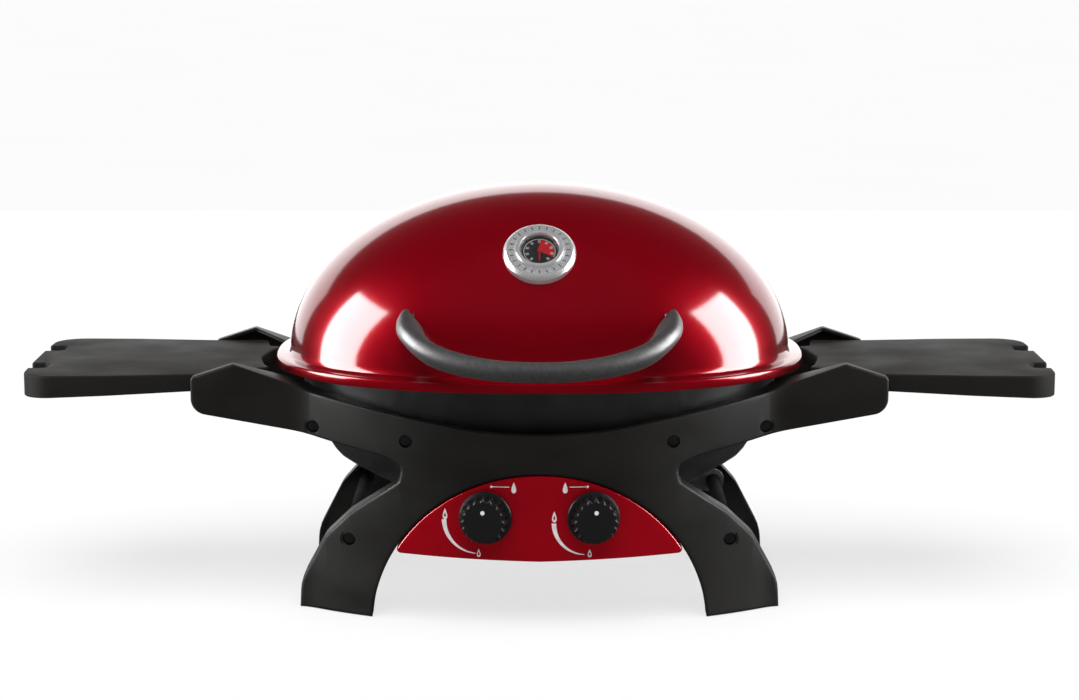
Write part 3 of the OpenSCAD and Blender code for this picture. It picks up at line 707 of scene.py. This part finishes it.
# Ribs inside the arms at these x, under the slopes beside the peak, and the comb along each leg's outer edge.
PEAK_RIBS, PEAK_RISE, PEAK_FALL = (300, 320, 352), 0.35, 0.33
LEG_RIBS, LEG_RIB_LOW, LEG_RIB_STEP, LEG_SLOPE = 7, 90, 4.4, 0.97


def line_z(start, end, x):
    """Height at x of the line through two places (x, z)."""
    return start[1] + (x - start[0]) * (end[1] - start[1]) / (end[0] - start[0])


def cylinder_y(x, z, y0, y1, r, sides=48):
    points = [(x + u, y, z + v) for y in (y0, y1) for u, v in circle(r, sides)]
    return points, ring_faces(2, sides)


def add_frame_ribs(work):
    """Ribs of both sides, from the back of the face to just short of the frame's edge."""
    back, half = 3, 1.3
    for x in PEAK_RIBS:
        low = line_z(ARM_ROOT, ARM_LOW, x) + 4
        if x < PEAK[0]:
            top = NECK[1] + (x - NECK[0]) * PEAK_RISE - 3
        else:
            top = PEAK[1] - (x - PEAK[0]) * PEAK_FALL - 4
        for s in (-1, 1):
            bar_into(work, (s * x - half, low, back), (s * x + half, top, ARM_DEPTH - 1))
    for i in range(LEG_RIBS):
        z = LEG_RIB_LOW + LEG_RIB_STEP * i
        edge = LEG_WAIST[0] + (LEG_WAIST[1] - z) * LEG_SLOPE
        for start, end in ((edge - 16, edge - 3), (3 - edge, 16 - edge)):
            bar_into(work, (start, z, back), (end, z + 1.6, LEG_DEPTH - 6))


def build_frame(name, side, node, material):
    """side is 1 for the front frame and -1 for the rear one, which mirrors it."""
    def place(p):
        return p[0], side * (face_y(p[0]) + p[2]), p[1]

    width = 6
    cuts = [-ARM_X + width / 2 + i * width for i in range(int(2 * ARM_X / width))]
    work = tray(frame_outline(), edge=3.0, wall=4.0, floor=5.0, rim=frame_rim, cuts=cuts)
    add_frame_ribs(work)
    made = from_bmesh(name, work, place, material, "chassis", [node])
    screws = [(s * x, side * face_y(x), z) for x, z in SCREWS for s in (-1, 1)]
    holes = [cylinder_y(x, z, y - side * 20, y + side * (CUP_FLOOR - 0.1), SCREW_R) for x, y, z in screws]
    carve(made, holes, name + "_holes")
    cup, faces = lathe([(SCREW_R, 3.6), (SCREW_R + 3, 3.6), (SCREW_R + 3, CUP_DEPTH), (3.3, CUP_DEPTH),
                        (3.3, CUP_FLOOR), (SCREW_R, CUP_FLOOR)], 48)
    cups = [([(x + u, y + side * depth, z + v) for u, v, depth in cup], faces) for x, y, z in screws]
    piece(name + "_bosses", *joined(cups), material, "chassis", (), node, 35)


def build_frames():
    black = moulded("frame_nylon", (0.0112, 0.0103, 0.0092))
    for name, side, node in (("frame_front", 1, "front_frame"), ("frame_rear", -1, "rear_frame")):
        build_frame(name, side, node, black)


def build_cookbox():
    """One shell of rings (a, b, z, squareness), from the rim down to the drain and up the inside again."""
    columns = 160
    shape = [(RIM_A - 13, RIM_B - 13, 258, OVAL_N), (RIM_A - 9.6, RIM_B - 9.6, 257.6, OVAL_N),
             (RIM_A - 9, RIM_B - 9, 257, OVAL_N), (RIM_A - 9, RIM_B - 9, 255, OVAL_N),
             (RIM_A - 10, RIM_B - 10, 254, OVAL_N), (268.5, 205.5, 252.5, OVAL_N),
             (266.6, 203.6, 251, OVAL_N), (266, 203, 247, OVAL_N), (264.4, 201.4, 232, OVAL_N),
             (262, 199, 215, OVAL_N), (257.5, 195.4, 199, OVAL_N), (251, 190, 185, OVAL_N),
             (244, 184, 173, OVAL_N), (236, 178, 162, OVAL_N), (231.8, 173.6, 155, 2.33),
             (226, 168, 148, 2.3), (216, 160, 141, 2.3), (204, 150, 134, 2.3), (188, 136, 124, 2.25),
             (169, 121, 114, 2.2), (148, 105, 107.5, 2.15), (125, 88, 102, 2.1), (92, 67, 98, 2.05),
             (60, 48, 96, 2), (31, 31, 94.5, 2), (30, 30, 93, 2), (30, 30, 87.3, 2), (29, 29, 87, 2),
             (26.5, 26.5, 87, 2), (26, 26, 88, 2), (26, 26, 98.5, 2), (60, 48, 100.5, 2),
             (124, 87, 106.5, 2.1), (167, 119, 118.5, 2.2), (201, 147, 138, 2.3), (222, 164, 152, 2.3),
             (232, 174, 165, OVAL_N), (246.5, 185.5, 187, OVAL_N), (257, 194, 215, OVAL_N),
             (249, 186, 221, OVAL_N), (249, 186, 225, OVAL_N), (259.5, 196.5, 226, OVAL_N),
             (262, 199, 250, OVAL_N), (262.6, 199.6, 257.4, OVAL_N), (263.4, 200.4, 258, OVAL_N)]
    # The cookbox's own dark grey, taken darker than the lugs' black enamel as painted shade for the shade
    # under the lid.
    dark = cast_enamel("cookbox_enamel_painted_shade", (0.017, 0.0162, 0.0155))
    faces = ring_faces(len(shape), columns, closed_rows=True)
    piece("cookbox_shell", oval_rings(shape, columns), faces, dark, "chassis", ["cookbox"], "cookbox", 40)


def panel_outline():
    """The arch above, and a lower edge that rises a little towards both corners."""
    r, low, rise, corner_x = ARCH_R - 1.0, 66.5, 4.5 / 200, 152
    start = math.degrees(math.asin((low + corner_x * rise - ARCH_Z) / r))
    corner = (r * math.cos(math.radians(start)), ARCH_Z + r * math.sin(math.radians(start)))
    top = [(x, z, 0) for x, z in arc((0, ARCH_Z), r, start + 4, 176 - start, 80)]
    bottom = [(x, low + abs(x) * rise, 0) for x in range(-120, 121, 20)]
    return rounded([(*corner, 4)] + top + [(-corner[0], corner[1], 4)] + bottom)


def build_panel():
    set_back, depth = 1.2, 14.0

    def place(p):
        return p[0], face_y(p[0]) + set_back + p[2], p[1]

    cuts = range(-150, 151, 5)
    work = tray(panel_outline(), edge=2.2, wall=3.0, floor=3.5, rim=lambda x, z: depth, cuts=cuts)
    # Painted light: the panel's red is the lid's enamel made much lighter. It stands in for the frontal light
    # that the panel, shaded by the grill, does not get.
    red = enamel("panel_enamel_painted_light", (0.37, 0.001, 0.008), 0.38)
    from_bmesh("panel", work, place, red, "chassis", ["control_panel"])


def on_panel(x):
    """Matrix of a knob's own axes: z straight out of the panel, y up."""
    turned = Matrix.Rotation(math.asin(x / BOW_R), 4, "Z") @ Matrix.Rotation(math.radians(90), 4, "X")
    return Matrix.Translation(world((x, face_y(x), KNOB_Z))) @ turned


def knob_shape():
    """A dark skirt and a grip whose edge is cut into round scallops that meet in sharp teeth."""
    teeth, steps, scallop = 19, 14, 3.5
    columns = teeth * steps
    collar, grip = 28.3, 25.5
    # Radius, height, and how much of the scallop is cut there.
    rows = [(collar - 1.2, 4.0, 0), (collar, 5.0, 0), (collar, 7.2, 0), (collar - 0.8, 8.6, 0),
            (collar - 2.4, 9.6, 0), (grip - 1.0, 10.2, 0.3), (grip - 0.2, 10.8, 1), (grip, 12, 1),
            (grip, 23.4, 1), (grip - 0.5, 24.6, 1), (grip - 1.6, 25.5, 0.9), (grip - 3.4, 26.0, 0.55),
            (grip - 6.0, KNOB_TOP, 0.1), (12, KNOB_TOP, 0), (3, KNOB_TOP, 0), (3, 24, 0), (19.5, 23, 0),
            (20.5, 4.6, 0), (21.5, 4.0, 0)]
    points = []
    for r, z, cut in rows:
        for i in range(columns):
            t = 2 * math.pi * i / columns
            reach = r - cut * scallop * math.sin(math.pi * (i % steps) / steps) ** 0.8
            points.append((reach * math.sin(t), reach * math.cos(t), z))
    return points, ring_faces(len(rows), columns, closed_rows=True)


def knob_cap():
    """A round plug in the middle of the knob's front, its top made of triangles round the centre."""
    radius, depth, sides = 3.4, 0.5, 64
    points = [(0, 0, KNOB_TOP)]
    points += [(x, y, z) for z in (KNOB_TOP, KNOB_TOP - depth) for x, y in circle(radius, sides)]
    faces = []
    for i in range(sides):
        j = (i + 1) % sides
        faces += [(0, 1 + i, 1 + j), (1 + i, 1 + sides + i, 1 + sides + j, 1 + j)]
    faces.append(tuple(1 + sides + i for i in range(sides)))
    return points, faces


def knob_dot():
    """The raised dot near the knob's edge that shows where it points."""
    radius, reach, low, high, sides = 2.3, 9.6, KNOB_TOP - 0.1, KNOB_TOP + 0.2, 32
    points = [(x, reach + y, z) for z in (low, high) for x, y in circle(radius, sides)]
    return points, ring_faces(2, sides)


def build_knobs():
    black = moulded("knob_plastic", (0.010, 0.010, 0.0105), roughness=0.38, streak=0.2)
    white = simple_material("knob_dot", (0.8, 0.8, 0.78), 0.45, grain=700, depth=0.01)
    for side, x in (("left", -KNOB_X), ("right", KNOB_X)):
        knob, place = f"{side}_knob", on_panel(x)
        piece(f"{side}_knob_grip", *knob_shape(), black, knob, [knob], knob, 28, place)
        piece(f"{side}_knob_cap", *knob_cap(), black, knob, (), knob, 28, place)
        piece(f"{side}_knob_dot", *knob_dot(), white, knob, (), knob, 30, place)


def flame(x, z, width, height, scale=1.0):
    """A drop-shaped outline, narrow at the top. Scaled down, it sits low inside the full one."""
    sides, tip_width, fullness, swell, sink = 36, 0.12, 0.8, 1.15, 0.12
    outline = []
    for i in range(sides):
        t = 2 * math.pi * i / sides
        wide = tip_width + (1 - tip_width) * ((1 - math.cos(t)) / 2) ** fullness
        outline.append((x + scale * width / 2 * math.sin(t) * wide * swell,
                        z + scale * height / 2 * math.cos(t) - (1 - scale) * height * sink))
    return outline


def heat_arc(x, z, radius):
    """A quarter ring round a knob, from the left to below it, that gets thinner on the way."""
    steps, sweep, half_start, half_end = 30, 87, 2.2, 0.3
    band = []
    for sign in (1, -1):
        edge = []
        for i in range(steps + 1):
            t = math.radians(180 + sweep * i / steps)
            r = radius + sign * (half_start * (1 - i / steps) ** 0.9 + half_end)
            edge.append((x + r * math.cos(t), z + r * math.sin(t)))
        band += edge[::sign]
    return band


def decal(name, outline, material, hole=None):
    """A thin painted shape on the curved panel, from an outline in x and z and a hole with as many points."""
    def place(p):
        return p[0], face_y(p[0]) + p[2], p[1]

    work = bmesh.new()
    depths = (0.95, 1.25)
    front, back = [[work.verts.new((x, z, depth)) for x, z in outline] for depth in depths]
    strips = [(front, back)]
    if hole:
        hole_front, hole_back = [[work.verts.new((x, z, depth)) for x, z in hole] for depth in depths]
        strips += [(front, hole_front), (back, hole_back), (hole_front, hole_back)]
    else:
        work.faces.new(front)
        work.faces.new(back)
    for one, other in strips:
        for i in range(len(one)):
            j = (i + 1) % len(one)
            work.faces.new((one[i], one[j], other[j], other[i]))
    from_bmesh(name, work, place, material, "chassis", (), 0)


# Beside each knob, from its axis: the large flame (x, z), the small one's x, and the arc's centre and radius.
DECAL_PLACES = {
    "left": {"high": (-44.0, 1.0), "low": -8.1, "arc": (-9.5, -5.0), "radius": 35.5},
    "right": {"high": (-40.8, 0.2), "low": -3.2, "arc": (-7.0, -7.0), "radius": 34.2},
}
OFF_FLAME, OFF_LINE, OFF_TIP = (27.2, 31.5), (32, 32.3), 51
LOW_FLAME_Z = -40


def build_decals():
    white = simple_material("decal_white", (0.72, 0.68, 0.68), 0.5, grain=700, depth=0.01)
    half, arrow = 0.4, 1.7
    for side, s in (("left", -1), ("right", 1)):
        spot, x, z = DECAL_PLACES[side], s * KNOB_X, KNOB_Z
        decal(f"{side}_off_flame", flame(s * OFF_FLAME[0], z + OFF_FLAME[1], 6.3, 11.6), white)
        start, tip, line = s * OFF_LINE[0], s * OFF_TIP, z + OFF_LINE[1]
        bar = [(start, line - half), (tip, line - half), (tip, line + half), (start, line + half)]
        decal(f"{side}_off_line", bar, white)
        diamond = [(tip - arrow, line), (tip, line - arrow), (tip + arrow, line), (tip, line + arrow)]
        decal(f"{side}_off_arrow", diamond, white)
        large = (x + spot["high"][0], z + spot["high"][1], 6, 12)
        decal(f"{side}_high_flame", flame(*large), white, flame(*large, 0.4))
        small = (x + spot["low"], z + LOW_FLAME_Z, 5, 8.6)
        decal(f"{side}_low_flame", flame(*small), white, flame(*small, 0.5))
        decal(f"{side}_heat_arc", heat_arc(x + spot["arc"][0], z + spot["arc"][1], spot["radius"]), white)


SHELF_LOW, SHELF_BEND_X, SHELF_DROP = 232, 380, 6.5


def shelf_outline():
    """Outline of the right shelf, with its inner edge round the lid and two notches at its end."""
    out_y, side_y, notch_y, half = 129.0, 116.0, 57, 16
    far = [(306, 46, 70), (297, 72, 6), (311, 74, 8), (316, side_y, 5), (SHELF_BEND_X + 2, side_y, 40),
           (470, out_y - 3, 60), (SHELF_X - 3, out_y, 34)]
    far += [(SHELF_X - 1.3, notch_y + half, 3.6), (SHELF_X - 22, notch_y + half, 5),
            (SHELF_X - 22, notch_y - 10, 3), (SHELF_X - 16, notch_y - half, 3),
            (SHELF_X - 0.6, notch_y - half, 3.6)]
    near = [(x, -y, r) for x, y, r in far[::-1]]
    return rounded(far + near + [(314, 0, 60)])


def shelf_rim(x, y):
    """Depth of a shelf's edge, which grows towards the end from a bend on."""
    past = max(0, (x - SHELF_BEND_X) / (SHELF_X - SHELF_BEND_X))
    return SHELF_Z - SHELF_LOW + SHELF_DROP * past


def build_shelf(side, s, material):
    """s is 1 for the right shelf and -1 for the left one."""
    def place(p):
        return s * p[0], p[1], SHELF_Z - p[2]

    work = tray(shelf_outline(), edge=2.2, wall=3.0, floor=3.0, rim=shelf_rim, cuts=[])
    half, low, high = 1.2, 2, 13
    for y in (-80, -27, 27, 80):
        bar_into(work, (322, y - half, low), (SHELF_X - 28, y + half, high))
    for x in (390, 450, 510):
        bar_into(work, (x - half, -112, low), (x + half, 112, high))
    shelf = f"{side}_shelf"
    from_bmesh(f"{side}_shelf_board", work, place, material, shelf, [shelf])


def build_shelves():
    grey = moulded("shelf_nylon", (0.0135, 0.0125, 0.0113), roughness=0.64, streak=0.12, gloss=0.07)
    build_shelf("left", -1, grey)
    build_shelf("right", 1, grey)


# ---------------------------------------------------------------- finishes of the CAD pieces that stay
def soften(node):
    """Small round edges, by modifiers that leave the CAD mesh itself alone."""
    weld = node.modifiers.new("weld", "WELD")
    weld.merge_threshold = 1e-5
    bevel = node.modifiers.new("soft_edges", "BEVEL")
    bevel.width, bevel.segments, bevel.limit_method = 0.5 * MM, 2, "ANGLE"
    bevel.angle_limit = math.radians(40)


def dress_cad_nodes():
    steel = simple_material("steel", (0.55, 0.55, 0.56), 0.32, 1.0, grain=600, depth=0.01)
    dark_steel = simple_material("blackened_steel", (0.10, 0.10, 0.10), 0.4, 0.9, grain=600, depth=0.01)
    zinc = simple_material("galvanised", (0.60, 0.61, 0.62), 0.42, 1.0, grain=120, depth=0.02)
    brass = simple_material("brass", (0.72, 0.52, 0.22), 0.28, 1.0, grain=500, depth=0.01)
    burner = simple_material("burner_steel", (0.42, 0.38, 0.34), 0.45, 1.0, grain=300, depth=0.02)
    iron = cast_enamel("cast_iron", (0.022, 0.022, 0.023), 0.55)
    dark = cast_enamel("black_enamel", (0.035, 0.035, 0.036))
    coated = moulded("coated_steel", (0.010, 0.0098, 0.0095), roughness=0.8, streak=0.2, gloss=0.03)
    ceramic = simple_material("ceramic", (0.80, 0.78, 0.72), 0.3, grain=500, depth=0.01)
    lead = simple_material("red_lead", (0.35, 0.02, 0.015), 0.45, grain=500, depth=0.01)
    glass = glass_material()
    dial = simple_material("dial_black", (0.025, 0.025, 0.024), 0.45, grain=900, depth=0.01)
    needle = simple_material("needle_red", (0.62, 0.01, 0.02), 0.4, grain=900, depth=0.005)
    finishes = {
        steel: ["handle_screws", "gauge_housing", "gauge_stem", "gauge_nut", "lid_hinge_screws",
                "lid_hinge_pins", "left_valve_stem", "right_valve_stem", "shelf_pins", "heat_tents"],
        dark_steel: ["frame_screws", "panel_screws"],
        zinc: ["valve_bracket", "inlet_bracket", "drip_tray", "tray_rails", "manifold"],
        brass: ["left_valve_body", "right_valve_body", "gas_inlet"],
        burner: ["left_burner", "right_burner"],
        iron: ["grill_plate", "hot_plate"],
        dark: ["lid_hinge_leaves", "lid_hinge_brackets", "cookbox_lugs"],
        coated: ["tie_bars"],
        ceramic: ["igniter_electrodes"],
        lead: ["igniter_leads"],
        dial: ["gauge_dial"],
        needle: ["gauge_needle"],
        glass: ["gauge_glass"],
    }
    for material, names in finishes.items():
        for name in names:
            NODES[name].data.materials.clear()
            NODES[name].data.materials.append(material)
            if name not in ("gauge_glass", "gauge_needle"):
                soften(NODES[name])


add_camera()
add_world()
add_floor()
add_backdrop()
add_lights()
build_lid()
build_handle()
build_gauge()
build_cookbox()
build_frames()
build_panel()
build_knobs()
build_decals()
build_shelves()
dress_cad_nodes()
